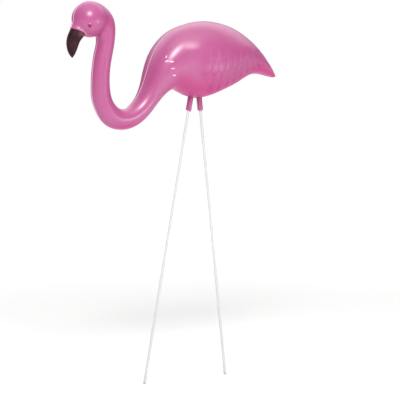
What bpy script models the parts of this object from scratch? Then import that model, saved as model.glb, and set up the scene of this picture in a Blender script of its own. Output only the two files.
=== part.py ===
# Pink plastic flamingo lawn ornament: one hollow moulding on two wire legs pushed into its sockets.
# Metres, +Z up. The bird faces -X. The origin is on the ground, midway between the tips of the legs.

import math

import bmesh
import bpy
import numpy as np
from mathutils import Vector

# Driving dimensions
BIRD_LENGTH = 0.2395  # front of the beak to the tip of the tail
LEG_HEIGHT = 0.2700  # ground to the mouths of the sockets
STANCE = 0.0954  # between the tips of the legs, front to back
WIRE_DIAMETER = 0.0026
LEG_INSERTION = 0.0180  # length of wire inside its socket
SOCKET_DROP = 0.0123  # belly to the mouths of the sockets
SOCKET_WALL = 0.0012
SOCKET_SPACING = 0.0139  # between the mouths of the two sockets
FIT_GAP = 0.0003  # clearance between a wire and its bore, all round and at its end

# Resolution
BODY_SIDES = 52
NECK_SIDES = 26
BODY_RING_STEP = 3.0  # in the pattern's millimetres
NECK_RING_STEP = 5.4
HEAD_RING_STEP = 3.2
BEAK_RING_STEP = 3.4
WIRE_SIDES = 20

# The pattern that the free form is drawn from, in millimetres of a bird of PATTERN_LENGTH. x runs
# from the beak to the tail, with 0 above the origin, and z runs up from the lowest point of the belly.
PATTERN_LENGTH = 239.5

# Sections from the tip of the beak to the tip of the tail: the outline point on the side of the
# crown and back (x, z), the one on the side of the throat and belly (x, z), the half width, and
# the squareness of the back half and of the belly half, where 2 is an ellipse.
SECTIONS = [
    # beak
    (-126.3, 39.0, -124.9, 39.4, 0.8, 2.0, 2.0),
    (-129.8, 44.0, -122.2, 43.8, 3.0, 2.0, 2.0),
    (-131.6, 50.0, -119.6, 49.6, 4.6, 2.0, 2.0),
    (-131.6, 56.0, -116.8, 55.6, 5.8, 2.0, 2.0),
    (-129.8, 61.6, -114.2, 58.6, 6.8, 2.0, 2.0),
    (-127.0, 67.0, -112.2, 61.4, 7.6, 2.0, 2.0),
    # head
    (-124.6, 72.8, -109.8, 61.6, 8.6, 2.0, 2.0),
    (-122.0, 79.4, -107.0, 61.6, 9.4, 2.0, 2.0),
    (-118.6, 86.0, -104.6, 61.6, 9.8, 2.0, 2.0),
    (-112.8, 90.8, -102.4, 61.6, 10.0, 2.0, 2.0),
    (-105.0, 92.6, -100.6, 61.4, 10.0, 2.0, 2.0),
    (-96.8, 91.2, -99.4, 60.4, 10.0, 2.0, 2.0),
    (-88.6, 86.2, -98.8, 58.2, 10.0, 2.0, 2.0),
    (-82.4, 78.2, -98.6, 55.0, 10.0, 2.0, 2.0),
    (-80.3, 68.0, -99.2, 50.4, 10.0, 2.0, 2.0),
    # neck
    (-81.1, 55.6, -100.9, 44.5, 9.9, 2.0, 2.0),
    (-83.5, 43.0, -102.4, 37.5, 9.8, 2.0, 2.0),
    (-85.8, 31.5, -103.5, 30.0, 9.7, 2.0, 2.0),
    (-86.8, 20.0, -104.4, 20.5, 9.7, 2.0, 2.0),
    (-86.5, 10.5, -104.8, 9.5, 9.8, 2.0, 2.0),
    # bend at the foot of the neck
    (-84.4, 0.6, -103.8, -1.8, 9.9, 2.0, 2.0),
    (-79.8, -6.4, -99.6, -13.0, 10.1, 2.0, 2.0),
    (-73.0, -10.2, -90.0, -25.0, 10.4, 2.0, 2.0),
    (-65.8, -8.8, -74.0, -29.8, 10.8, 2.0, 2.0),
    (-59.2, -3.4, -57.6, -26.8, 11.2, 2.0, 2.0),
    # breast
    (-54.0, 3.4, -45.0, -17.8, 12.2, 2.0, 2.0),
    (-48.6, 14.0, -35.2, -6.4, 14.6, 2.1, 2.0),
    (-44.4, 25.4, -26.8, 2.8, 18.4, 2.2, 2.0),
    (-40.0, 37.0, -20.2, 7.4, 21.5, 2.3, 2.0),
    (-33.0, 49.6, -14.6, 9.0, 24.2, 2.4, 2.0),
    # body
    (-22.0, 61.8, -7.8, 6.8, 26.8, 2.4, 2.1),
    (-11.0, 68.8, 2.0, 2.4, 29.5, 2.4, 2.2),
    (2.0, 73.4, 12.0, 0.6, 32.2, 2.3, 2.2),
    (21.5, 76.0, 23.4, 2.0, 33.4, 2.1, 2.3),
    (44.0, 73.2, 37.0, 6.8, 30.6, 2.0, 2.4),
    (65.5, 63.6, 54.0, 14.0, 24.6, 2.0, 2.5),
    # tail
    (83.5, 50.0, 69.0, 21.6, 17.6, 2.0, 2.6),
    (96.0, 37.0, 84.6, 24.4, 12.2, 2.0, 2.6),
    (103.4, 28.0, 96.8, 22.2, 7.4, 2.0, 2.4),
    (107.7, 22.0, 106.6, 20.2, 3.0, 2.0, 2.0),
]
HEAD_ENDS = 15  # numbers of the sections where the head ends and the body starts
BODY_STARTS = 26

# The head is a ball round the end of the neck
HEAD_RADIUS = 16.9
HEAD_CENTRE = (-107.2, 76.0)
HEAD_BLEND = 0.8  # width over which the ball runs into the neck and the beak
HEAD_MARGIN = 8.0  # outside the ball, over which the sections stop following its size
EYE_PLACE = (-114.2, 70.4)
EYE_RADIUS = 1.75
EYE_SUNK = 0.45  # from the ball's surface down to the eye's middle

# A raised lip runs round the root of the beak
LIP_SECTION = 5.3  # its place, counted in sections from the tip of the beak
LIP_HEIGHT = 0.8
LIP_WIDTH = 1.2
LIP_CROWN = 0.1  # share of the lip's height left on the side of the crown
LIP_TURN = 0.35  # cosine of the turn from the crown at which it is half way up to its full height
LIP_TURN_WIDTH = 1.3

# The folded wing: its front edge runs up the flank through these points (x, z)
WING_EDGE = [(12, 0), (10, 10), (4, 19), (-4, 28), (-11, 38), (-15, 48), (-12, 60)]
WING_EDGE_WIDTH = [(12, 4), (28, 10), (42, 18)]  # (z, width): crisp low down, soft at the shoulder
WING_EDGE_LEAD = 2.0  # the relief starts this far in front of the line
WING_TOP = [(-20, 54), (0, 60), (20, 63), (45, 62), (80, 50)]  # line where it has half run out
WING_TOP_FADE = 22.0
WING_REAR = 84.0  # x at which it has half run out into the tail
WING_REAR_FADE = 30.0
WING_FRONT = -30.0  # no relief in front of this x
WING_INSET = 9.0  # from the middle of the belly, over which the wing stands up to its full height
WING_RISE = 1.7  # how far the wing stands proud of the flank
FEATHER_PITCH = 8.7
FEATHER_TIP = 5.0  # height of the round end of a feather
# Rows of feathers on the wing: the line of the tips (x, z), the x of one feather's middle, how far
# the row stands proud of the wing, and how deep the grooves between its feathers are
FEATHER_ROWS = [
    ([(0, 8), (18.5, 8.2), (27.5, 8.9), (36, 12.6), (44, 17.4), (52, 21.6), (75, 32)], 18.5, 0, 0.9),
    ([(0, 23), (13.5, 23.6), (22, 24.2), (31, 28.6), (40, 31.4), (49, 37), (75, 47)], 13.6, 0.6, 0.45),
]
ROW_EDGE_WIDTH = 1.6
FEATHER_REACH = 13.0  # length over which rows and grooves fade out above the tips

# Where the sockets leave the belly
SOCKET_MIDDLE = 10.8  # x of the middle between their two mouths


def clear_scene():
    for old in list(bpy.data.objects):
        bpy.data.objects.remove(old, do_unlink=True)


def new_collection(name, hidden=False):
    group = bpy.data.collections.new(name)
    group.hide_render = hidden
    bpy.context.scene.collection.children.link(group)
    return group


def make_material(name, colour, roughness, metallic):
    material = bpy.data.materials.new(name)
    material.use_nodes = True
    material.diffuse_color = (*colour, 1)
    shader = material.node_tree.nodes["Principled BSDF"]
    shader.inputs["Base Color"].default_value = (*colour, 1)
    shader.inputs["Roughness"].default_value = roughness
    shader.inputs["Metallic"].default_value = metallic
    return material


def natural_spline(knots, values):
    # Second derivatives of the natural cubic spline through each column of values.
    steps = np.diff(knots)
    count = len(knots)
    system = np.eye(count)
    right = np.zeros_like(values)
    slopes = np.diff(values, axis=0) / steps[:, None]
    for i in range(1, count - 1):
        system[i, i - 1 : i + 2] = steps[i - 1], 2 * (steps[i - 1] + steps[i]), steps[i]
        right[i] = 6 * (slopes[i] - slopes[i - 1])
    bends = np.linalg.solve(system, right)

    def at(place):
        i = min(max(int(np.searchsorted(knots, place)) - 1, 0), count - 2)
        near = (place - knots[i]) / steps[i]
        far = 1 - near
        line = far * values[i] + near * values[i + 1]
        curl = (far**3 - far) * bends[i] + (near**3 - near) * bends[i + 1]
        return line + curl * steps[i] ** 2 / 6

    return at


def bird_form():
    # The smooth form in the pattern's millimetres: the places of the sections along the bird, and a
    # function from a place to its section's values.
    table = np.array(SECTIONS)
    moves = np.diff(table, axis=0)
    lengths = (np.hypot(moves[:, 0], moves[:, 1]) + np.hypot(moves[:, 2], moves[:, 3])) / 2
    knots = np.concatenate([[0], np.cumsum(lengths)])
    return knots, natural_spline(knots, table)


def soft_step(value, width):
    share = min(max(value / width + 0.5, 0), 1)
    return share * share * (3 - 2 * share)


def soft_max(a, b, width):
    overlap = max(width - abs(a - b), 0) / width
    return max(a, b) + overlap * overlap * width / 4


def part_way(knots, section):
    # The place of a section whose number isn't whole.
    return float(np.interp(section, range(len(knots)), knots))


def wing_height(x, z):
    # How far the folded wing and its feathers stand proud of the flank at this place.
    edge_x, edge_z = zip(*WING_EDGE)
    height = 0
    plate = WING_RISE
    for line, middle, rise, depth in FEATHER_ROWS:
        tip = np.interp(x, *zip(*line))
        away = (x - middle) / FEATHER_PITCH
        side = min(abs(2 * (away - round(away))), 1)
        inside = soft_step(z - tip - FEATHER_TIP * (1 - math.sqrt(1 - side * side)), ROW_EDGE_WIDTH)
        reach = soft_step(tip + FEATHER_REACH - z, FEATHER_REACH)
        height += (plate + (rise - depth * side**3) * reach) * inside
        plate = 0
    width = np.interp(z, *zip(*WING_EDGE_WIDTH))
    height *= soft_step(x - np.interp(z, edge_z, edge_x) + WING_EDGE_LEAD - width / 2, width)
    height *= soft_step(np.interp(x, *zip(*WING_TOP)) - z, WING_TOP_FADE)
    return height * soft_step(WING_REAR - x, WING_REAR_FADE)


def shaped(point):
    # The ball of the head and the relief of the wings, on a point of the smooth form. The highest
    # point of the sections belongs on the ball, and those round it are scaled along with it.
    centre = Vector((HEAD_CENTRE[0], 0, HEAD_CENTRE[1]))
    highest = max(SECTIONS, key=lambda section: section[1])
    crown = (Vector((highest[0], 0, highest[1])) - centre).length
    away = point - centre
    follow = max(1 - max(away.length - crown, 0) / HEAD_MARGIN, 0)
    away *= 1 + (HEAD_RADIUS / crown - 1) * follow
    point = centre + away.normalized() * soft_max(away.length, HEAD_RADIUS, HEAD_BLEND)
    if point.x > WING_FRONT:
        stand = min(abs(point.y) / WING_INSET, 1)
        point.y += math.copysign(wing_height(point.x, point.z) * stand, point.y)
    return point


def section_points(values, sides, swell):
    back_x, back_z, front_x, front_z, half_width, back_square, belly_square = values
    centre = Vector(((back_x + front_x) / 2, 0, (back_z + front_z) / 2))
    reach = Vector(((back_x - front_x) / 2, 0, (back_z - front_z) / 2))
    points = []
    for i in range(sides):
        turn = 2 * math.pi * i / sides
        power = 2 / (back_square if math.cos(turn) > 0 else belly_square)
        along = math.copysign(abs(math.cos(turn)) ** power, math.cos(turn))
        across = math.copysign(abs(math.sin(turn)) ** power, math.sin(turn))
        arm = reach * along + Vector((0, half_width * across, 0))
        share = LIP_CROWN + (1 - LIP_CROWN) * soft_step(LIP_TURN - math.cos(turn), LIP_TURN_WIDTH)
        points.append(shaped(centre + arm + arm.normalized() * swell * share))
    return points


def spaced(start, end, step):
    count = max(1, round((end - start) / step))
    return [start + (end - start) * i / count for i in range(count)]


def in_world(point):
    scale = BIRD_LENGTH / PATTERN_LENGTH
    return point * scale + Vector((0, 0, LEG_HEIGHT + SOCKET_DROP))


def make_bird(collection):
    knots, form = bird_form()
    lip = part_way(knots, LIP_SECTION)
    breast = knots[BODY_STARTS]
    places = spaced(knots[0], lip - LIP_WIDTH, BEAK_RING_STEP)
    places += [lip - LIP_WIDTH, lip]
    places += spaced(lip + LIP_WIDTH, knots[HEAD_ENDS], HEAD_RING_STEP)
    places += spaced(knots[HEAD_ENDS], breast, NECK_RING_STEP)
    counts = [NECK_SIDES] * len(places)
    places += spaced(breast, knots[-1], BODY_RING_STEP) + [knots[-1]]
    counts += [BODY_SIDES] * (len(places) - len(counts))
    mesh = bmesh.new()
    rings = []
    for place, sides in zip(places, counts):
        swell = LIP_HEIGHT * max(1 - abs(place - lip) / LIP_WIDTH, 0)
        points = section_points(form(place), sides, swell)
        rings.append([mesh.verts.new(in_world(point)) for point in points])
    for ring, following in zip(rings, rings[1:]):
        join_rings(mesh, ring, following)
    for ring in (rings[0], rings[-1]):
        mesh.faces.new(ring)
    bmesh.ops.recalc_face_normals(mesh, faces=mesh.faces)
    bmesh.ops.triangulate(mesh, faces=mesh.faces)
    data = bpy.data.meshes.new("flamingo_body")
    mesh.to_mesh(data)
    mesh.free()
    bird = bpy.data.objects.new("flamingo_body", data)
    collection.objects.link(bird)
    return bird


def join_rings(mesh, ring, following):
    # Quads between equal rings. Where the sides double, each quad becomes three triangles.
    doubled = len(following) > len(ring)
    for i in range(len(ring)):
        a, b = ring[i], ring[(i + 1) % len(ring)]
        if doubled:
            c, d, e = (following[(2 * i + k) % len(following)] for k in range(3))
            mesh.faces.new((a, d, c))
            mesh.faces.new((a, b, d))
            mesh.faces.new((b, e, d))
        else:
            mesh.faces.new((a, b, following[(i + 1) % len(ring)], following[i]))


def leg_lines():
    # The mouth of each socket, the tip of its leg on the ground, and the way up the leg.
    lines = {}
    middle = SOCKET_MIDDLE * BIRD_LENGTH / PATTERN_LENGTH
    for name, side in (("front", -1), ("rear", 1)):
        mouth = Vector((middle + side * SOCKET_SPACING / 2, 0, LEG_HEIGHT))
        foot = Vector((side * STANCE / 2, 0, 0))
        lean = abs((mouth - foot).normalized().x)
        tip = foot + Vector((0, 0, WIRE_DIAMETER / 2 * lean))
        lines[name] = mouth, tip, (mouth - tip).normalized()
    return lines


def make_rod(name, collection, start, end, diameter):
    way = end - start
    mesh = bmesh.new()
    half = diameter / 2
    bmesh.ops.create_cone(
        mesh, cap_ends=True, segments=WIRE_SIDES, radius1=half, radius2=half, depth=way.length
    )
    data = bpy.data.meshes.new(name)
    mesh.to_mesh(data)
    mesh.free()
    rod = bpy.data.objects.new(name, data)
    rod.location = (start + end) / 2
    rod.rotation_mode = "QUATERNION"
    rod.rotation_quaternion = way.to_track_quat("Z", "Y")
    collection.objects.link(rod)
    return rod


def make_eyes(collection):
    # Two small balls sunk in the sides of the head.
    x, z = EYE_PLACE[0] - HEAD_CENTRE[0], EYE_PLACE[1] - HEAD_CENTRE[1]
    mesh = bmesh.new()
    for side in (-1, 1):
        out = Vector((x, side * math.sqrt(HEAD_RADIUS**2 - x**2 - z**2), z))
        middle = Vector((HEAD_CENTRE[0], 0, HEAD_CENTRE[1])) + out * (1 - EYE_SUNK / HEAD_RADIUS)
        made = bmesh.ops.create_uvsphere(
            mesh, u_segments=12, v_segments=8, radius=EYE_RADIUS * BIRD_LENGTH / PATTERN_LENGTH
        )
        bmesh.ops.translate(mesh, verts=made["verts"], vec=in_world(middle))
    data = bpy.data.meshes.new("eyes")
    mesh.to_mesh(data)
    mesh.free()
    eyes = bpy.data.objects.new("eyes", data)
    collection.objects.link(eyes)
    return eyes


def add_boolean(target, tool, operation):
    modifier = target.modifiers.new(f"{operation.lower()} {tool.name}", "BOOLEAN")
    modifier.operation = operation
    modifier.solver = "EXACT"
    modifier.object = tool
    tool.display_type = "WIRE"
    tool.hide_render = True


def main():
    clear_scene()
    ornament = new_collection("pink_flamingo")
    cutters = new_collection("pink_flamingo_cutters", hidden=True)
    pink = make_material("pink_plastic", (0.61, 0.14, 0.35), 0.3, 0.0)
    white = make_material("white_paint", (0.82, 0.82, 0.8), 0.4, 0.0)

    bird = make_bird(ornament)
    bird.data.materials.append(pink)
    add_boolean(bird, make_eyes(cutters), "UNION")
    bore_diameter = WIRE_DIAMETER + 2 * FIT_GAP
    for name, (mouth, tip, up) in leg_lines().items():
        root = mouth + up * (LEG_INSERTION + FIT_GAP + SOCKET_WALL)
        socket = make_rod(f"{name}_socket", cutters, mouth, root, bore_diameter + 2 * SOCKET_WALL)
        add_boolean(bird, socket, "UNION")
    for name, (mouth, tip, up) in leg_lines().items():
        bore_end = mouth + up * (LEG_INSERTION + FIT_GAP)
        bore = make_rod(f"{name}_bore", cutters, mouth - up * SOCKET_WALL, bore_end, bore_diameter)
        add_boolean(bird, bore, "DIFFERENCE")
        leg = make_rod(f"{name}_leg", ornament, tip, mouth + up * LEG_INSERTION, WIRE_DIAMETER)
        leg.data.materials.append(white)
    for piece in ornament.objects:
        piece.data.shade_smooth()
        piece.data.set_sharp_from_angle(angle=math.radians(40))


main()
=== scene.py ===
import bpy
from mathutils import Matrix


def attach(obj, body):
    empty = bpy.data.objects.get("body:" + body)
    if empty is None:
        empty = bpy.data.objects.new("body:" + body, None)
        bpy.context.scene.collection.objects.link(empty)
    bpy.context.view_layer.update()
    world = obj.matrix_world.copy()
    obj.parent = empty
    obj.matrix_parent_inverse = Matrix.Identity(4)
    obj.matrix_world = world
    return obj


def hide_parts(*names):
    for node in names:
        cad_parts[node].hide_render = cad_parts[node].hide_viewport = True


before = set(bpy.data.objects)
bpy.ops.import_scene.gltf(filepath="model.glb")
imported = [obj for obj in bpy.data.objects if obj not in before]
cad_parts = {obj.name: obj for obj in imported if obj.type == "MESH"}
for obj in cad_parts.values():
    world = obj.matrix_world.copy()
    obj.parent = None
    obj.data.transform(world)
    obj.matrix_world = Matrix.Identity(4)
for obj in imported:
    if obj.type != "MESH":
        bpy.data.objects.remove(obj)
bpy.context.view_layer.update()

import math

import bmesh
import bpy
import numpy as np
from mathutils import Matrix, Quaternion, Vector
from mathutils.bvhtree import BVHTree

# A pink flamingo lawn ornament: one glossy blow-moulded bird on two white wire legs.
# Metres, +Z up, the bird faces -X. The bird's own numbers are in millimetres of its pattern:
# x from beak to tail with 0 above the origin, z up from the lowest point of the belly.

bird = {
    "millimetre": 0.001,
    "bellyHeight": 0.2823,
    # crown and back (x, z), throat and belly (x, z), half width, squareness of the back and of the belly
    "sections": [
        (-126.3, 39.0, -124.9, 39.4, 0.8, 2.0, 2.0),  # tip of the beak
        (-129.8, 44.0, -122.2, 43.8, 3.0, 2.0, 2.0),
        (-131.6, 50.0, -119.6, 49.6, 4.6, 2.0, 2.0),
        (-131.6, 56.0, -116.8, 55.6, 5.8, 2.0, 2.0),
        (-129.8, 61.6, -114.2, 58.6, 6.8, 2.0, 2.0),
        (-127.0, 67.0, -112.2, 61.4, 7.6, 2.0, 2.0),
        (-124.6, 72.8, -109.8, 61.6, 8.6, 2.0, 2.0),  # head
        (-122.0, 79.4, -107.0, 61.6, 9.4, 2.0, 2.0),
        (-118.6, 86.0, -104.6, 61.6, 9.8, 2.0, 2.0),
        (-112.8, 90.8, -102.4, 61.6, 10.0, 2.0, 2.0),
        (-105.0, 92.6, -100.6, 61.4, 10.0, 2.0, 2.0),
        (-96.8, 91.2, -99.4, 60.4, 10.0, 2.0, 2.0),
        (-88.6, 86.2, -98.8, 58.2, 10.0, 2.0, 2.0),
        (-82.4, 78.2, -98.6, 55.0, 10.0, 2.0, 2.0),
        (-80.3, 68.0, -99.2, 50.4, 10.0, 2.0, 2.0),
        (-81.1, 55.6, -100.9, 44.5, 9.9, 2.0, 2.0),  # neck
        (-83.5, 43.0, -102.4, 37.5, 9.8, 2.0, 2.0),
        (-85.8, 31.5, -103.5, 30.0, 9.7, 2.0, 2.0),
        (-86.8, 20.0, -104.4, 20.5, 9.7, 2.0, 2.0),
        (-86.5, 10.5, -104.8, 9.5, 9.8, 2.0, 2.0),
        (-84.4, 0.6, -103.8, -1.8, 9.9, 2.0, 2.0),  # bend at the foot of the neck
        (-79.8, -6.4, -99.6, -13.0, 10.1, 2.0, 2.0),
        (-73.0, -10.2, -90.0, -25.0, 10.4, 2.0, 2.0),
        (-65.8, -8.8, -74.0, -29.8, 10.8, 2.0, 2.0),
        (-59.2, -3.4, -57.6, -26.8, 11.2, 2.0, 2.0),
        (-54.0, 3.4, -45.0, -17.8, 12.2, 2.0, 2.0),  # breast
        (-48.6, 14.0, -35.2, -6.4, 14.6, 2.1, 2.0),
        (-44.4, 25.4, -26.8, 2.8, 18.4, 2.2, 2.0),
        (-40.0, 37.0, -20.2, 7.4, 21.5, 2.3, 2.0),
        (-33.0, 49.6, -14.6, 9.0, 24.2, 2.4, 2.0),
        (-22.0, 61.8, -7.8, 6.8, 26.8, 2.4, 2.1),  # body
        (-11.0, 68.8, 2.0, 2.4, 29.5, 2.4, 2.2),
        (2.0, 73.4, 12.0, 0.6, 32.2, 2.3, 2.2),
        (21.5, 76.0, 23.4, 2.0, 33.4, 2.1, 2.3),
        (44.0, 73.2, 37.0, 6.8, 30.6, 2.0, 2.4),
        (65.5, 63.6, 54.0, 14.0, 24.6, 2.0, 2.5),
        (83.5, 50.0, 69.0, 21.6, 17.6, 2.0, 2.6),  # tail
        (96.0, 37.0, 84.6, 24.4, 12.2, 2.0, 2.6),
        (103.4, 28.0, 96.8, 22.2, 7.4, 2.0, 2.4),
        (107.7, 22.0, 106.6, 20.2, 3.0, 2.0, 2.0),
    ],
    "sides": 192,
    "ringSteps": [(0, 0.9), (5, 0.6), (15, 1.6), (26, 0.85)],  # from this section on, a ring each so many mm
    "endRound": 1.2,  # the beak's and the tail's ends are rounded over this length
    "endRings": (0.05, 0.2, 0.45, 0.8),  # extra rings there, in shares of it
    "headRadius": 16.9,
    "headCentre": (-107.2, 76.0),
    "headBlend": 0.8,  # crisp below, where the neck leaves the head, and softer behind the crown
    "crownBlend": 2.4,
    "crownFade": (3.0, 12.0),  # height over the ball's middle where it is half softened, and over how much
    "crownInset": 8.0,  # from the middle of the crown, over which it becomes that soft
    "crease": (1.1, 3.2, 4.0),  # shade between head and neck: depth, width, top over the ball's middle
    "lipSection": 5.3,  # the raised lip round the root of the beak
    "lipHeight": 0.8,
    "crownLip": 0.1,  # share of the lip's height left on the side of the crown
    "lipTurn": (0.35, 1.3),  # cosine of the turn from the crown where it has half grown, and over how much
    "lipWidth": 1.2,
    "lipRings": (2.2, 0.25),  # as far as this from the lip, the rings stand this close
    "lipHighlight": 0.35,  # how much highlight is painted on its crest
    "crestWidth": 0.9,
    "beakStep": 0.35,  # the beak lies this far under the lip's foot
    "seamHeight": 0.5,  # the mould's parting line, all round in the plane y = 0
    "seamFoot": 0.65,  # half width of its foot
    "seamEnd": 3.0,  # in lengths of endRound, over which it rises at both ends
    "seamHighlight": (0.4, 0.95),  # painted highlight along its ridge: behind the breast and in front of it
    "seamChange": (-15, 30),  # x in the middle of that change, and over how much
    "beakShine": (0.8, 3.4, 2.6),  # a painted reflection on the beak: how pale, how far under the lip, width
    "paintEdge": 1.25,  # the beak's paint starts this far below the crest of the lip
    "paintReach": 8.0,  # no deeper than this is measured
    "paintEnd": -0.11,  # in metres: behind this x nothing is painted
}

wing = {
    "edge": [(12, 0), (10, 10), (4, 19), (-4, 28), (-11, 38), (-15, 48), (-12, 60)],
    "edgeWidth": [(12, 4), (28, 10), (42, 18)],  # at these heights: crisp low down, soft above
    "edgeLead": 2.0,  # its foot starts this far in front of the line
    "front": -30,  # nothing in front of this x
    "top": [(-20, 54), (0, 60), (20, 63), (45, 62), (80, 50)],  # where it has half run out into the back
    "topFade": 22.0,
    "rear": (84.0, 30.0),  # x where it has half run out towards the tail, and over how much
    "inset": 9.0,
    "rise": 1.7,
    "gleam": 0.16,  # how much highlight is painted along its front edge
    "gleamPlace": (1.0, 0.8),  # in front of the edge, and half width
    "gleamTop": (44, 10),  # height where that ends, and over how much
    "pitch": 8.7,
    "tipRound": 5.0,
    "tipStep": 1.6,
    "footShade": 0.45,
    "footPlace": (0.9, 1.1),  # below the tips, and half width
    "barbsTop": (52, 16),  # the fine grain of the feathers stops here, over this much
    # line of the tips (x, z), the x of one feather's middle, how far the row stands proud of the wing,
    # how deep the grooves between its feathers are and how far up both run
    "rows": [
        ([(0, 8), (18.5, 8.2), (27.5, 8.9), (36, 12.6), (44, 17.4), (52, 21.6), (75, 32)],
         18.5, 0, 0.9, 13),
        ([(0, 23), (13.5, 23.6), (22, 24.2), (31, 28.6), (40, 31.4), (49, 37), (75, 47)],
         13.6, 0.6, 0.45, 13),
        ([(0, 37), (22, 39.5), (40, 44), (58, 50), (75, 56)],
         17.9, 0.25, 0.25, 9),
    ],
}

# Short raised strokes on each shoulder: middle (x, z), length, lean in degrees, how pale; the pale is a
# painted glint.
strokes = {
    "marks": [
        (-32.6, 40.6, 2.6, 75, 0.85),
        (-32.8, 36.3, 4.2, 4, 0.95),
        (-29.2, 35.8, 4.6, -4, 1.0),
        (-27.8, 29.2, 4.4, 8, 0.55),
        (-25.9, 22.5, 3.8, -2, 0.75),
    ],
    "width": 1.5,
    "height": 0.5,
}


def naturalSpline(knots, values, places):
    # Natural cubic spline through each column of values, read at the places.
    steps = np.diff(knots)
    count = len(knots)
    system = np.eye(count)
    right = np.zeros_like(values)
    slopes = np.diff(values, axis=0) / steps[:, None]
    for i in range(1, count - 1):
        system[i, i - 1:i + 2] = steps[i - 1], 2 * (steps[i - 1] + steps[i]), steps[i]
        right[i] = 6 * (slopes[i] - slopes[i - 1])
    bends = np.linalg.solve(system, right)
    i = np.clip(np.searchsorted(knots, places) - 1, 0, count - 2)
    near = ((places - knots[i]) / steps[i])[:, None]
    far = 1 - near
    curl = (far**3 - far) * bends[i] + (near**3 - near) * bends[i + 1]
    return far * values[i] + near * values[i + 1] + curl * steps[i, None] ** 2 / 6


def softStep(value, width):
    share = np.clip(value / width + 0.5, 0, 1)
    return share * share * (3 - 2 * share)


def softMax(a, b, width):
    overlap = np.maximum(width - np.abs(a - b), 0) / width
    return np.maximum(a, b) + overlap**2 * width / 4


def hump(value, middle, halfWidth):
    return np.exp(-((value - middle) / halfWidth) ** 2)


def wingRelief(x, z):
    # How far the folded wing stands proud of the flank, how much shade is painted into its grooves and
    # under its feather tips, how much of the wing is there, and how much highlight is painted on its front
    # edge.
    edgeX, edgeZ = zip(*wing["edge"])
    height = np.zeros_like(x)
    paintedShade = np.zeros_like(x)
    plate = wing["rise"]
    for line, middle, rise, depth, reachUp in wing["rows"]:
        tip = np.interp(x, *zip(*line))
        away = (x - middle) / wing["pitch"]
        side = np.clip(np.abs(2 * (away - np.round(away))), 0, 1)
        above = z - tip - wing["tipRound"] * (1 - np.sqrt(1 - side**2))
        inside = softStep(above, wing["tipStep"])
        reach = softStep(tip + reachUp - z, reachUp)
        height += (plate + (rise - depth * side**3) * reach) * inside
        below, footWidth = wing["footPlace"]
        foot = hump(above, -below, footWidth) * (plate + rise) * wing["footShade"]
        plate = 0
        paintedShade = np.maximum(paintedShade, np.maximum(side**8 * reach * inside * depth, foot))
    width = np.interp(z, *zip(*wing["edgeWidth"]))
    behindEdge = x - np.interp(z, edgeZ, edgeX)
    front = softStep(behindEdge + wing["edgeLead"] - width / 2, width) * (x > wing["front"])
    top = np.interp(x, *zip(*wing["top"]))
    fade = softStep(top - z, wing["topFade"]) * softStep(wing["rear"][0] - x, wing["rear"][1])
    ahead, gleamWidth = wing["gleamPlace"]
    gleamTop, gleamFade = wing["gleamTop"]
    gleam = wing["gleam"] * hump(behindEdge, -ahead, gleamWidth) * softStep(gleamTop - z, gleamFade) * fade
    return height * front * fade, paintedShade, front * fade, gleam


def ringPlaces(knots, lip):
    starts = [knots[section] for section, step in bird["ringSteps"]] + [knots[-1]]
    places = []
    for (section, step), start, end in zip(bird["ringSteps"], starts, starts[1:]):
        places.extend(np.linspace(start, end, max(2, round((end - start) / step)), endpoint=False))
    around, close = bird["lipRings"]
    places.extend(np.arange(lip - around, lip + around, close))
    for inset in bird["endRings"]:
        places += [inset * bird["endRound"], knots[-1] - inset * bird["endRound"]]
    return np.unique(np.round(places + [knots[-1]], 3))


def sideTurns(halfWidth, backPower, bellyPower):
    # The turn of each column from the crown, ring by ring: two columns are the parting line itself, and
    # the others are spread evenly between its feet.
    half = bird["sides"] // 2
    foot = np.minimum(bird["seamFoot"] / halfWidth, 0.5)
    backFoot, bellyFoot = np.arcsin(foot ** (1 / backPower)), np.arcsin(foot ** (1 / bellyPower))
    flank = backFoot + (math.pi - bellyFoot - backFoot) * np.linspace(0, 1, half - 1)
    middle = np.zeros_like(halfWidth)
    return np.hstack([middle, flank, middle + math.pi, 2 * math.pi - flank[:, ::-1], middle + 2 * math.pi])


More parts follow.
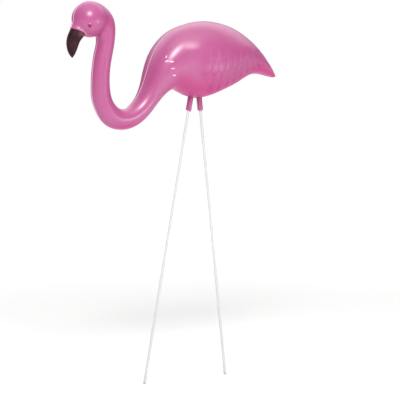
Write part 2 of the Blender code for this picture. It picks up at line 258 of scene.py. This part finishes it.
def birdSkin():
    # Every point of the skin by ring and side, in the pattern's millimetres, with what the finish reads.
    table = np.array(bird["sections"])
    moves = np.diff(table, axis=0)
    lengths = (np.hypot(moves[:, 0], moves[:, 1]) + np.hypot(moves[:, 2], moves[:, 3])) / 2
    knots = np.concatenate([[0], np.cumsum(lengths)])
    lip = float(np.interp(bird["lipSection"], range(len(knots)), knots))
    places = ringPlaces(knots, lip)
    form = naturalSpline(knots, table, places)
    middle = np.stack([form[:, 0] + form[:, 2], 0 * places, form[:, 1] + form[:, 3]], 1) / 2
    reach = np.stack([form[:, 0] - form[:, 2], 0 * places, form[:, 1] - form[:, 3]], 1) / 2
    halfWidth, backPower, bellyPower = form[:, 4, None], 2 / form[:, 5, None], 2 / form[:, 6, None]

    turn = sideTurns(halfWidth, backPower, bellyPower)
    seamSides = [0, bird["sides"] // 2, bird["sides"]]
    cosine, sine = np.cos(turn), np.sin(turn)
    sine[:, seamSides] = 0
    power = np.where(cosine > 0, backPower, bellyPower)
    along = np.sign(cosine) * np.abs(cosine) ** power
    across = np.sign(sine) * np.abs(sine) ** power
    fromEnd = np.minimum(places, knots[-1] - places) / bird["endRound"]
    shrink = np.sqrt(1 - np.clip(1 - fromEnd, 0, 1) ** 2)[:, None, None]
    sideways = np.array([0, 1, 0]) * (halfWidth * across)[..., None]
    arm = shrink * (reach[:, None] * along[..., None] + sideways)

    fromLip = (places - lip)[:, None]
    halfGrown, growth = bird["lipTurn"]
    lipShare = bird["crownLip"] + (1 - bird["crownLip"]) * softStep(halfGrown - cosine, growth)
    bulge = np.cos(np.clip(fromLip / bird["lipWidth"], -1, 1) * math.pi / 2) ** 2
    step = softStep(-fromLip - bird["lipWidth"], 1.0) * np.clip(fromEnd, 0, 1)[:, None]
    swell = bird["lipHeight"] * lipShare * bulge - bird["beakStep"] * step
    seam = np.zeros_like(turn)
    seam[:, seamSides] = 1
    size = np.maximum(np.linalg.norm(arm, axis=2, keepdims=True), 0.001)
    unit = arm / size
    ridge = bird["seamHeight"] * seam * np.clip(fromEnd / bird["seamEnd"], 0, 1)[:, None]
    points = middle[:, None] + arm + unit * swell[..., None] * (size > 0.3)

    centre = np.array([bird["headCentre"][0], 0, bird["headCentre"][1]])
    away = points - centre
    distance = np.linalg.norm(away, axis=2, keepdims=True)
    softFrom, softOver = bird["crownFade"]
    behindCrown = softStep(away[..., 2:] - softFrom, softOver)
    behindCrown = behindCrown * np.clip(np.abs(points[..., 1:2]) / bird["crownInset"], 0, 1)
    blend = bird["headBlend"] + (bird["crownBlend"] - bird["headBlend"]) * behindCrown
    points = centre + away / distance * softMax(distance, bird["headRadius"], blend)
    onBall = softStep(bird["headRadius"] - distance, 1.0)
    points += (unit * (1 - onBall) + away / distance * onBall) * ridge[..., None]

    x, y, z = points[..., 0], points[..., 1], points[..., 2]
    height, paintedShade, onWing, gleam = wingRelief(x, z)
    beside = distance[..., 0] - bird["headRadius"]
    creaseDepth, creaseWidth, creaseTop = bird["crease"]
    onNeck = (beside > -0.3) * (x > centre[0]) * (z < centre[2] + creaseTop)
    crease = creaseDepth * hump(beside, 0, creaseWidth) * onNeck
    stand = np.clip(np.abs(y) / wing["inset"], 0, 1)
    points[..., 1] += np.sign(y) * height * stand
    painted = np.clip(lip - np.broadcast_to(places[:, None], x.shape), 0, bird["paintReach"])
    onWing = onWing * stand
    paintedShade = np.maximum(paintedShade * onWing, crease)
    # painted reflection on the throat side of the beak, a little under the lip
    paintedHighlight, reflectionMiddle, reflectionWidth = bird["beakShine"]
    shine = paintedHighlight * hump(painted, reflectionMiddle, reflectionWidth) * softStep(-cosine, 1.2) * (painted > 0)
    crest = bird["lipHighlight"] * hump(fromLip, 0, bird["crestWidth"]) * lipShare
    behind, before = bird["seamHighlight"]
    change, changeOver = bird["seamChange"]
    # a painted highlight along the ridge of the parting line
    line = seam * (behind + (before - behind) * softStep(change - x, changeOver))
    # pale: painted highlights on the parting line, the lip's crest and the wing's front edge, and a painted
    # reflection on the beak
    pale = np.maximum(np.maximum(line, crest), shine) + gleam * onWing
    barbsTop, barbsFade = wing["barbsTop"]
    feathered = onWing * softStep(barbsTop - z, barbsFade)
    return points, {"paintedShade": paintedShade, "painted": painted, "pale": pale, "feathered": feathered}


def gridSkin(points, facts):
    # A grid wrapped round the bird: its long seam is merged and its two end rings become poles.
    rings, columns = points.shape[0] - 1, points.shape[1] - 1
    skin = bmesh.new()
    bmesh.ops.create_grid(skin, x_segments=rings, y_segments=columns, size=1)
    layers = {name: skin.verts.layers.float.new(name) for name in facts}
    table, ends = {}, ([], [])
    for vertex in skin.verts:
        i = round((vertex.co.x + 1) / 2 * rings)
        j = round((vertex.co.y + 1) / 2 * columns)
        table[i, j] = vertex
        if i in (0, rings):
            ends[i > 0].append(vertex)
        vertex.co = inMetres(points[i, j])
        for name, layer in layers.items():
            vertex[layer] = facts[name][i, j]
    bmesh.ops.weld_verts(skin, targetmap={table[i, columns]: table[i, 0] for i in range(rings + 1)})
    for end in ends:
        live = [vertex for vertex in end if vertex.is_valid]
        bmesh.ops.pointmerge(skin, verts=live, merge_co=live[0].co)
    bmesh.ops.dissolve_degenerate(skin, dist=1e-7, edges=skin.edges)
    bmesh.ops.recalc_face_normals(skin, faces=skin.faces)
    return skin


def inMetres(point):
    return Vector(point) * bird["millimetre"] + Vector((0, 0, bird["bellyHeight"]))


def smoothed(piece, sharpAngle=38):
    piece.data.shade_smooth()
    piece.data.set_sharp_from_angle(angle=math.radians(sharpAngle))
    return piece


def newObject(name, shape):
    data = bpy.data.meshes.new(name)
    shape.to_mesh(data)
    shape.free()
    piece = bpy.data.objects.new(name, data)
    bpy.context.scene.collection.objects.link(piece)
    return piece


wire = {
    "segments": 32,
    "endChamfer": 0.00025,
}

sockets = {
    "wireDiameter": 0.0026,
    "fitGap": 0.0003,
    "wall": 0.0012,
    "insertion": 0.0180,
    "boreLead": 0.004,  # how far outside the mouth the bore's tool starts
    "spacing": 0.0139,
    "middle": 0.0108,
    "mouthHeight": 0.2700,
    "stance": 0.0954,
    "segments": 48,
    "reach": (0.013, 0.0045, 0.29),  # from their middle along x and y, and up to this height, all is socket
    "rootShade": (0.2806, 0.0024),  # height of the painted shade in the crease where they leave the belly, and half width
    "shadeDepth": (0.5, 1.1),  # painted shade all over a socket, and more in the crease
    "lipRound": 0.0007,
    "flashTop": 0.000735,  # only what is lower than this on a bar is drawn down as flash
    "flash": {"front": (0.0013, 200, 34), "rear": (0.0002, 90, 60)},  # how low, at which turn, how wide
}


def legLine(name):
    # The mouth of the socket, the tip of the wire on the ground, and the way up.
    side = -1 if name == "front" else 1
    mouth = Vector((sockets["middle"] + side * sockets["spacing"] / 2, 0, sockets["mouthHeight"]))
    foot = Vector((side * sockets["stance"] / 2, 0, 0))
    lean = abs((mouth - foot).normalized().x)
    tip = foot + Vector((0, 0, sockets["wireDiameter"] / 2 * lean))
    return mouth, tip, (mouth - tip).normalized()


def roundBar(start, end, radius, segments):
    # A plain round bar, still lying at the origin, with its way and the edges of its starting end.
    bar = bmesh.new()
    way = end - start
    bmesh.ops.create_circle(bar, cap_ends=True, segments=segments, radius=radius)
    grown = bmesh.ops.extrude_face_region(bar, geom=bar.faces[:], use_keep_orig=True)
    top = [part for part in grown["geom"] if isinstance(part, bmesh.types.BMVert)]
    bmesh.ops.translate(bar, verts=top, vec=(0, 0, way.length))
    bmesh.ops.recalc_face_normals(bar, faces=bar.faces)
    return bar, way, edgesAt(bar, 0)


def edgesAt(bar, height):
    return [edge for edge in bar.edges if all(abs(vertex.co.z - height) < 1e-7 for vertex in edge.verts)]


def standUp(bar, start, way):
    turn = way.to_track_quat("Z", "Y").to_matrix().to_4x4()
    bmesh.ops.transform(bar, matrix=turn, verts=bar.verts)
    bmesh.ops.translate(bar, verts=bar.verts, vec=start)


def socketBar(name):
    mouth, _, up = legLine(name)
    radius = sockets["wireDiameter"] / 2 + sockets["fitGap"] + sockets["wall"]
    root = mouth + up * (sockets["insertion"] + sockets["fitGap"] + sockets["wall"])
    bar, way, mouthEdges = roundBar(mouth, root, radius, sockets["segments"])
    bmesh.ops.bevel(bar, geom=mouthEdges, offset=sockets["lipRound"], offset_type="OFFSET", segments=4,
                    profile=0.5, affect="EDGES", material=-1)
    drop, at, width = sockets["flash"][name]
    for vertex in bar.verts:
        if vertex.co.z < sockets["flashTop"]:
            turned = math.degrees(math.atan2(vertex.co.y, vertex.co.x)) % 360
            near = max(0, 1 - abs((turned - at + 180) % 360 - 180) / width)
            vertex.co.z -= drop * near
    standUp(bar, mouth, way)
    return newObject(f"{name}_socket_tool", bar)


def boreBar(name):
    mouth, _, up = legLine(name)
    radius = sockets["wireDiameter"] / 2 + sockets["fitGap"]
    start = mouth - up * sockets["boreLead"]
    end = mouth + up * (sockets["insertion"] + sockets["fitGap"])
    bar, way, _ = roundBar(start, end, radius, wire["segments"])
    standUp(bar, start, way)
    return newObject(f"{name}_bore_tool", bar)


eye = {
    "place": (-114.2, 70.4),
    "radius": 1.75,
    "sunk": 0.45,
    "shadeDrop": 1.5,
    "shadeReach": 1.5,
    "shadeDepth": 3.0,
    "shadeBelow": (2.6, 0.35, 1.2),  # painted shade on the bead's lower part: depth, its share at half height, how fast it ends above
    "over": (0.7, 0.2),  # painted highlight on top of the bead: how pale, from what height
}


def addBead(beads, layers, place, size, turn, facts):
    # A closed round bead laid into the skin. facts gives what the finish reads there, by height on the bead.
    made = bmesh.ops.create_uvsphere(beads, u_segments=32, v_segments=20, radius=1)
    for vertex in made["verts"]:
        for name, layer in layers.items():
            vertex[layer] = facts(vertex.co.z).get(name, 0)
    bmesh.ops.scale(beads, verts=made["verts"], vec=Vector(size) * bird["millimetre"])
    bmesh.ops.transform(beads, matrix=Matrix.Translation(place) @ turn, verts=made["verts"])


def eyeFacts(height):
    depth, share, slope = eye["shadeBelow"]
    gleam, start = eye["over"]
    return {"paintedShade": depth * min(max(share - slope * height, 0), 1), "pale": gleam * max(height - start, 0)}


def addEyes(skin, beads, layers):
    # Two round beads in the sides of the head, with a painted shadow drawn under each.
    centre = Vector((bird["headCentre"][0], 0, bird["headCentre"][1]))
    x, z = eye["place"][0] - centre.x, eye["place"][1] - centre.z
    eyeShadow = skin.verts.layers.float["paintedShade"]
    for side in (-1, 1):
        out = Vector((x, side * math.sqrt(bird["headRadius"] ** 2 - x**2 - z**2), z))
        middle = inMetres(centre + out * (1 - eye["sunk"] / bird["headRadius"]))
        shade = middle - Vector((0, 0, eye["shadeDrop"] * bird["millimetre"]))
        for vertex in skin.verts:
            away = (vertex.co - shade).length / (eye["shadeReach"] * bird["millimetre"])
            if away < 2:
                vertex[eyeShadow] = max(vertex[eyeShadow], eye["shadeDepth"] * math.exp(-away**2))
        addBead(beads, layers, middle, [eye["radius"]] * 3, Matrix.Identity(4), eyeFacts)


def addStrokes(skin, beads, layers):
    # Flat beads laid on the shoulders, found by looking at the skin from each side.
    tree = BVHTree.FromBMesh(skin)
    for x, z, length, lean, pale in strokes["marks"]:
        for side in (-1, 1):
            place, normal = tree.ray_cast(inMetres(Vector((x, side * 100, z))), Vector((0, -side, 0)))[:2]
            way = Vector((math.cos(math.radians(lean)), 0, math.sin(math.radians(lean))))
            way = (way - normal * way.dot(normal)).normalized()
            turn = Matrix((way.cross(normal), way, normal)).transposed().to_4x4()
            size = strokes["width"] / 2, length / 2, strokes["height"]
            addBead(beads, layers, place, size, turn, lambda height: {"pale": pale})


def joinTools(target, unions, cuts):
    for tool in unions + cuts:
        modifier = target.modifiers.new(tool.name, "BOOLEAN")
        modifier.operation = "UNION" if tool in unions else "DIFFERENCE"
        modifier.solver = "EXACT"
        modifier.object = tool
    graph = bpy.context.evaluated_depsgraph_get()
    joined = bpy.data.meshes.new_from_object(target.evaluated_get(graph))
    target.modifiers.clear()
    target.data = joined
    for tool in unions + cuts:
        bpy.data.objects.remove(tool)


def makeBird():
    piece = newObject("flamingo_moulding", gridSkin(*birdSkin()))
    joinTools(piece, [socketBar("front"), socketBar("rear")], [boreBar("front"), boreBar("rear")])
    skin = bmesh.new()
    skin.from_mesh(piece.data)
    layers = {name: skin.verts.layers.float[name] for name in ("paintedShade", "painted", "pale", "feathered")}
    reachX, reachY, reachZ = sockets["reach"]
    rootHeight, rootWidth = sockets["rootShade"]
    shadeDepth, creaseDepth = sockets["shadeDepth"]
    for vertex in skin.verts:
        x, y, z = vertex.co
        if x > bird["paintEnd"]:
            vertex[layers["painted"]] = 0
        # painted shade over the sockets, darkest in the crease at their root
        if abs(y) < reachY and abs(x - sockets["middle"]) < reachX and z < reachZ:
            vertex[layers["paintedShade"]] = shadeDepth + creaseDepth * hump(z, rootHeight, rootWidth)
            vertex[layers["pale"]] = 0
    beads = bmesh.new()
    beadLayers = {name: beads.verts.layers.float.new(name) for name in layers}
    addStrokes(skin, beads, beadLayers)
    addEyes(skin, beads, beadLayers)
    extra = bpy.data.meshes.new("beads")
    beads.to_mesh(extra)
    beads.free()
    skin.from_mesh(extra)
    bpy.data.meshes.remove(extra)
    for face in skin.faces:
        covered = min(vertex[layers["painted"]] for vertex in face.verts)
        face.material_index = int(covered > bird["paintEdge"] - 0.01)
    skin.to_mesh(piece.data)
    skin.free()
    return smoothed(piece)


def makeWire(name):
    mouth, tip, up = legLine(name)
    top = mouth + up * sockets["insertion"]
    bar, way, tipEdges = roundBar(tip, top, sockets["wireDiameter"] / 2, wire["segments"])
    bmesh.ops.bevel(bar, geom=tipEdges + edgesAt(bar, way.length), offset=wire["endChamfer"],
                    offset_type="OFFSET", segments=2, profile=0.5, affect="EDGES", material=-1)
    standUp(bar, tip, way)
    return smoothed(newObject(f"{name}_wire", bar))


class Signal:
    # A shader socket that takes part in Python expressions.
    def __init__(self, finish, socket):
        self.finish, self.socket = finish, socket

    def maths(self, operation, *values):
        return self.finish.node("ShaderNodeMath", {"operation": operation}, dict(enumerate(values)))

    def __add__(self, other):
        return self.maths("ADD", self, other)

    def __sub__(self, other):
        return self.maths("SUBTRACT", self, other)

    def __rsub__(self, other):
        return self.maths("SUBTRACT", other, self)

    def __mul__(self, other):
        return self.maths("MULTIPLY", self, other)

    __radd__ = __add__
    __rmul__ = __mul__


class Finish:
    # One material, or the world. Every node comes from its node method.
    def __init__(self, owner):
        owner.use_nodes = True
        self.owner = owner
        self.tree = owner.node_tree

    def node(self, kind, settings=None, values=None, output=0):
        made = self.tree.nodes.new(kind)
        for name, setting in (settings or {}).items():
            setattr(made, name, setting)
        for socket, value in (values or {}).items():
            self.feed(made.inputs[socket], value)
        return Signal(self, made.outputs[output])

    def feed(self, socket, value):
        if isinstance(value, Signal):
            self.tree.links.new(value.socket, socket)
        else:
            socket.default_value = value

    def surface(self, **values):
        for name, value in values.items():
            self.feed(self.tree.nodes["Principled BSDF"].inputs[name.replace("_", " ")], value)

    def mixColour(self, share, a, b):
        return self.node("ShaderNodeMix", {"data_type": "RGBA"}, {0: share, 6: a, 7: b}, 2)

    def between(self, value, low, high):
        settings = {"interpolation_type": "SMOOTHSTEP"}
        return self.node("ShaderNodeMapRange", settings, {0: value, 1: low, 2: high})

    def objectPlace(self):
        return self.node("ShaderNodeTexCoord", output=3)

    def noise(self, place, scale, detail=3.0, roughness=0.5):
        values = {"Vector": place, "Scale": scale, "Detail": detail, "Roughness": roughness}
        return self.node("ShaderNodeTexNoise", {}, values)

    def bump(self, height, strength, distance):
        values = {"Strength": strength, "Distance": distance, "Height": height}
        return self.node("ShaderNodeBump", {}, values)

    def attribute(self, name):
        return self.node("ShaderNodeAttribute", {"attribute_name": name}, output=2)


pink = {
    "body": (0.415, 0.071, 0.223, 1),
    "pale": (0.440, 0.097, 0.256, 1),  # in faint clouds over the body's pink
    "deep": (0.545, 0.028, 0.205, 1),  # painted shade underneath, a deeper pink
    "grooveShade": (0.36, 0.030, 0.150, 1),  # painted shade in grooves and creases, and painted shadow in the deepest of them
    "shadow": (0.200, 0.008, 0.070, 1),
    "paintedHighlight": (1.0, 0.64, 0.84, 1),  # painted highlight on ridges, the lip, strokes, eyes and the wing's front edge
    "barb": (0.50, 0.140, 0.33, 1),  # fine grain on the feathers
    "mist": (0.22, 0.03, 0.10, 1),  # overspray of the beak's paint
    "headEdge": (-0.070, -0.090),  # x over which the neck gives way to the head
    "tailEdge": (0.050, 0.100),
    "facingDown": (-0.20, -0.95),  # how far down a face looks where the painted shade starts and is full
    "roughness": 0.36,
    "coat": 0.45,
    "coatRoughness": 0.33,
    "coatIOR": 2.2,
    "rippleHeight": 0.001,
}


def makePinkPlastic():
    finish = Finish(bpy.data.materials.new("pinkPlastic"))
    place = finish.objectPlace()
    cloudy = finish.noise(place, 28, 3, 0.55)
    fine = finish.noise(place, 420, 2, 0.5)
    paintedShade = finish.attribute("paintedShade")
    pale = finish.attribute("pale")
    painted = finish.attribute("painted")
    feathered = finish.attribute("feathered")
    upright = finish.node("ShaderNodeMapping", {}, {"Vector": place, "Scale": (1.0, 0.5, 0.3)})
    barbs = finish.noise(upright, 420, 3, 0.55)
    # painted shade: a deeper pink where a face looks at the ground, more so at the tail than at the head
    normal = finish.node("ShaderNodeNewGeometry", output=1)
    facing = finish.node("ShaderNodeSeparateXYZ", {}, {0: normal}, 2)
    along = finish.node("ShaderNodeSeparateXYZ", {}, {0: place}, 0)
    head = finish.between(along, *pink["headEdge"])
    lift = head * 0.3 - finish.between(along, *pink["tailEdge"]) * 0.5
    shadeBelow = finish.between(facing + lift + (cloudy - 0.5) * 0.3, *pink["facingDown"])
    dull = finish.between(paintedShade, 0.0, 1.2)
    colour = finish.mixColour(finish.between(cloudy, 0.35, 0.68) * 0.5, pink["body"], pink["pale"])
    colour = finish.mixColour(finish.between(barbs, 0.5, 0.75) * feathered * 0.45, colour, pink["barb"])
    colour = finish.mixColour(shadeBelow * 0.7, colour, pink["deep"])
    # painted shade in grooves and creases, and painted shadow where it is deepest
    colour = finish.mixColour(paintedShade * 0.42, colour, pink["grooveShade"])
    colour = finish.mixColour(finish.between(paintedShade, 1.0, 2.2), colour, pink["shadow"])
    # painted highlights and glints from the pale attribute
    colour = finish.mixColour(pale, colour, pink["paintedHighlight"])
    mist = finish.between(painted + (cloudy - 0.5) * 0.8, 0.2, 1.6) * 0.6
    colour = finish.mixColour(mist, colour, pink["mist"])
    gloss = pink["roughness"] + (cloudy - 0.5) * 0.12 + (fine - 0.5) * 0.08 + feathered * 0.12
    dapple = finish.noise(place, 170, 2, 0.5) * 0.5 + finish.noise(place, 55, 2, 0.5)
    ripple = finish.bump(dapple + barbs * feathered * 0.5, 0.10, pink["rippleHeight"])
    coat = (1 - shadeBelow * 0.8) * (1 - feathered * 0.45) * (1 - dull * 0.6) * (1 - head * 0.3) * pink["coat"]
    finish.surface(Base_Color=colour, Roughness=gloss, Normal=ripple, IOR=1.46, Specular_IOR_Level=0.25)
    finish.surface(Coat_Weight=coat, Coat_IOR=pink["coatIOR"], Coat_Roughness=pink["coatRoughness"])
    finish.surface(Subsurface_Weight=0.12, Subsurface_Radius=(1.0, 0.35, 0.6), Subsurface_Scale=0.004)
    return finish.owner


beakPaint = {
    "dark": (0.017, 0.006, 0.008, 1),
    "warm": (0.040, 0.011, 0.014, 1),
    "wearAndHighlight": (0.21, 0.070, 0.090, 1),  # where the pink shows through thin paint, and also the painted highlight and reflection on the beak
    "roughness": 0.44,
    "rippleHeight": 0.0004,
}


def makeBeakPaint():
    finish = Finish(bpy.data.materials.new("beakPaint"))
    place = finish.objectPlace()
    brushed = finish.noise(place, 120, 3, 0.6)
    fine = finish.noise(place, 650, 3, 0.6)
    colour = finish.mixColour(finish.between(brushed, 0.38, 0.68), beakPaint["dark"], beakPaint["warm"])
    colour = finish.mixColour(finish.between(fine, 0.62, 0.74) * 0.25, colour, beakPaint["wearAndHighlight"])
    # painted highlight and reflection on the beak, from the pale attribute
    colour = finish.mixColour(finish.attribute("pale"), colour, beakPaint["wearAndHighlight"])
    ripple = finish.bump(fine, 0.15, beakPaint["rippleHeight"])
    gloss = beakPaint["roughness"] + (brushed - 0.5) * 0.2
    finish.surface(Base_Color=colour, Roughness=gloss, Normal=ripple, Specular_IOR_Level=0.15)
    return finish.owner


white = {
    "paint": (0.65, 0.65, 0.655, 1),
    "shade": (0.56, 0.56, 0.57, 1),
    "steel": (0.42, 0.41, 0.40, 1),  # bare at the tips, where the paint has worn off
    "wornFrom": (-1.6, -0.5),  # minus the height in millimetres where the steel starts, and where it is bare
    "roughness": 0.34,
    "rippleHeight": 0.0003,
}


def makeWhiteEnamel():
    finish = Finish(bpy.data.materials.new("whiteEnamel"))
    place = finish.objectPlace()
    long = finish.node("ShaderNodeMapping", {}, {"Vector": place, "Scale": (1.0, 1.0, 0.12)})
    streaks = finish.noise(long, 900, 3, 0.6)
    height = finish.node("ShaderNodeSeparateXYZ", {}, {0: place}, 2)
    worn = finish.between(height * -1000 + (streaks - 0.5) * 2.4, *white["wornFrom"])
    colour = finish.mixColour(finish.between(streaks, 0.45, 0.75) * 0.6, white["paint"], white["shade"])
    colour = finish.mixColour(worn, colour, white["steel"])
    ripple = finish.bump(streaks, 0.12, white["rippleHeight"])
    gloss = white["roughness"] + (streaks - 0.5) * 0.14
    finish.surface(Base_Color=colour, Roughness=gloss, Metallic=worn * 0.9, Normal=ripple)
    return finish.owner


studio = {
    "target": (0.0174, 0.0, 0.1800),
    "distance": 1.6,
    "azimuth": -32.0,
    "elevation": 4.55,
    "lens": 143.36,
    "sensor": 36,
    # azimuth from the camera's own, elevation, roll, distance, size, power
    "softboxes": [
        ("keySoftbox", 1, 35, 28, 1.3, (0.42, 0.28), 11.4),
        ("sideSoftbox", 58, -11, 0, 1.3, (0.14, 0.20), 2.5),
    ],
    "overhead": (0.48, 60, 80),  # strength, width and elevation in degrees
    "horizon": 0.185,  # strengths of the white room: all round, and what its three parts below add
    "zenith": 0.40,
    "front": 0.17,
    "backdrop": 1.3,
    "overTarget": 0.13,  # the lamps aim this far above the camera's target, at the bird
    "floor": (0.90, 0.90, 0.895, 1),  # white paper
    "floorGrain": (0.90, 0.90, 0.90, 1),
    "floorSize": 6,
    "floorGlow": (0.5, 1.3, 0.22),  # from this far out to this far, and how much, it comes up to white
}


def around(azimuth, elevation):
    a, e = math.radians(azimuth), math.radians(elevation)
    return Vector((math.sin(a) * math.cos(e), -math.cos(a) * math.cos(e), math.sin(e)))


def aim(thing, place, target, roll=0):
    thing.location = place
    facing = (target - place).to_track_quat("-Z", "Y")
    thing.rotation_euler = (facing @ Quaternion((0, 0, 1), math.radians(roll))).to_euler()
    bpy.context.scene.collection.objects.link(thing)


def makeStudio():
    target = Vector(studio["target"])
    camera = bpy.data.objects.new("photoCamera", bpy.data.cameras.new("photoCamera"))
    camera.data.lens = studio["lens"]
    camera.data.sensor_width = studio["sensor"]
    camera.data.sensor_fit = "HORIZONTAL"
    camera.data.clip_end = 50
    aim(camera, target + around(studio["azimuth"], studio["elevation"]) * studio["distance"], target)
    bpy.context.scene.camera = camera
    middle = target + Vector((0, 0, studio["overTarget"]))
    for name, azimuth, elevation, roll, distance, size, power in studio["softboxes"]:
        lamp = bpy.data.lights.new(name, "AREA")
        lamp.shape = "RECTANGLE"
        lamp.size, lamp.size_y = size
        lamp.energy = power
        softbox = bpy.data.objects.new(name, lamp)
        softbox.visible_camera = False
        aim(softbox, middle + around(studio["azimuth"] + azimuth, elevation) * distance, middle, roll)
    lamp = bpy.data.lights.new("overheadSheet", "SUN")
    strength, spread, elevation = studio["overhead"]
    lamp.energy, lamp.angle = strength, math.radians(spread)
    aim(bpy.data.objects.new("overheadSheet", lamp), middle + around(studio["azimuth"], elevation), middle)

    # a white room that is brightest above, and plain white where it is seen
    room = Finish(bpy.data.worlds.new("whiteRoom"))
    toCamera = around(studio["azimuth"], 0)
    looking = room.node("ShaderNodeTexCoord", output=0)
    height = room.node("ShaderNodeSeparateXYZ", {}, {0: looking}, 2)
    facing = room.node("ShaderNodeVectorMath", {"operation": "DOT_PRODUCT"}, {0: looking, 1: toCamera}, 1)
    light = studio["horizon"] + room.between(height, 0.1, 0.9) * studio["zenith"]
    light = light + room.between(facing, 0.0, 0.8) * studio["front"]
    behind = room.between(facing, -0.2, -0.6) * room.between(height, 0.25, 0.55)
    light = light + behind * studio["backdrop"]
    seen = room.node("ShaderNodeLightPath")
    room.feed(room.tree.nodes["Background"].inputs["Strength"], light + seen * (1 - light))
    room.feed(room.tree.nodes["Background"].inputs["Color"], (1, 1, 1, 1))
    bpy.context.scene.world = room.owner
    bpy.context.scene.view_settings.view_transform = "Standard"

    ground = bmesh.new()
    bmesh.ops.create_circle(ground, cap_ends=True, segments=96, radius=studio["floorSize"])
    floor = newObject("floor", ground)
    paper = Finish(bpy.data.materials.new("whitePaper"))
    place = paper.objectPlace()
    grain = paper.noise(place, 60, 3, 0.6)
    fromBird = paper.node("ShaderNodeVectorMath", {"operation": "LENGTH"}, {0: place}, 1)
    near, far, glow = studio["floorGlow"]
    colour = paper.mixColour(grain * 0.1, studio["floor"], studio["floorGrain"])
    lit = paper.mixColour(paper.between(fromBird, near, far), (0, 0, 0, 1), (1, 1, 1, 1))
    paper.surface(Base_Color=colour, Roughness=0.8, Emission_Color=lit, Emission_Strength=glow)
    floor.data.materials.append(paper.owner)


def dress(piece, materials, node):
    for material in materials:
        piece.data.materials.append(material)
    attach(piece, "root")
    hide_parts(node)


makeStudio()
print("studio ready")
moulding = makeBird()
dress(moulding, [makePinkPlastic(), makeBeakPaint()], "flamingo_body")
print("bird moulded:", len(moulding.data.polygons), "faces")
enamel = makeWhiteEnamel()
for name in ("front", "rear"):
    dress(makeWire(name), [enamel], f"{name}_leg")
print("legs ready")
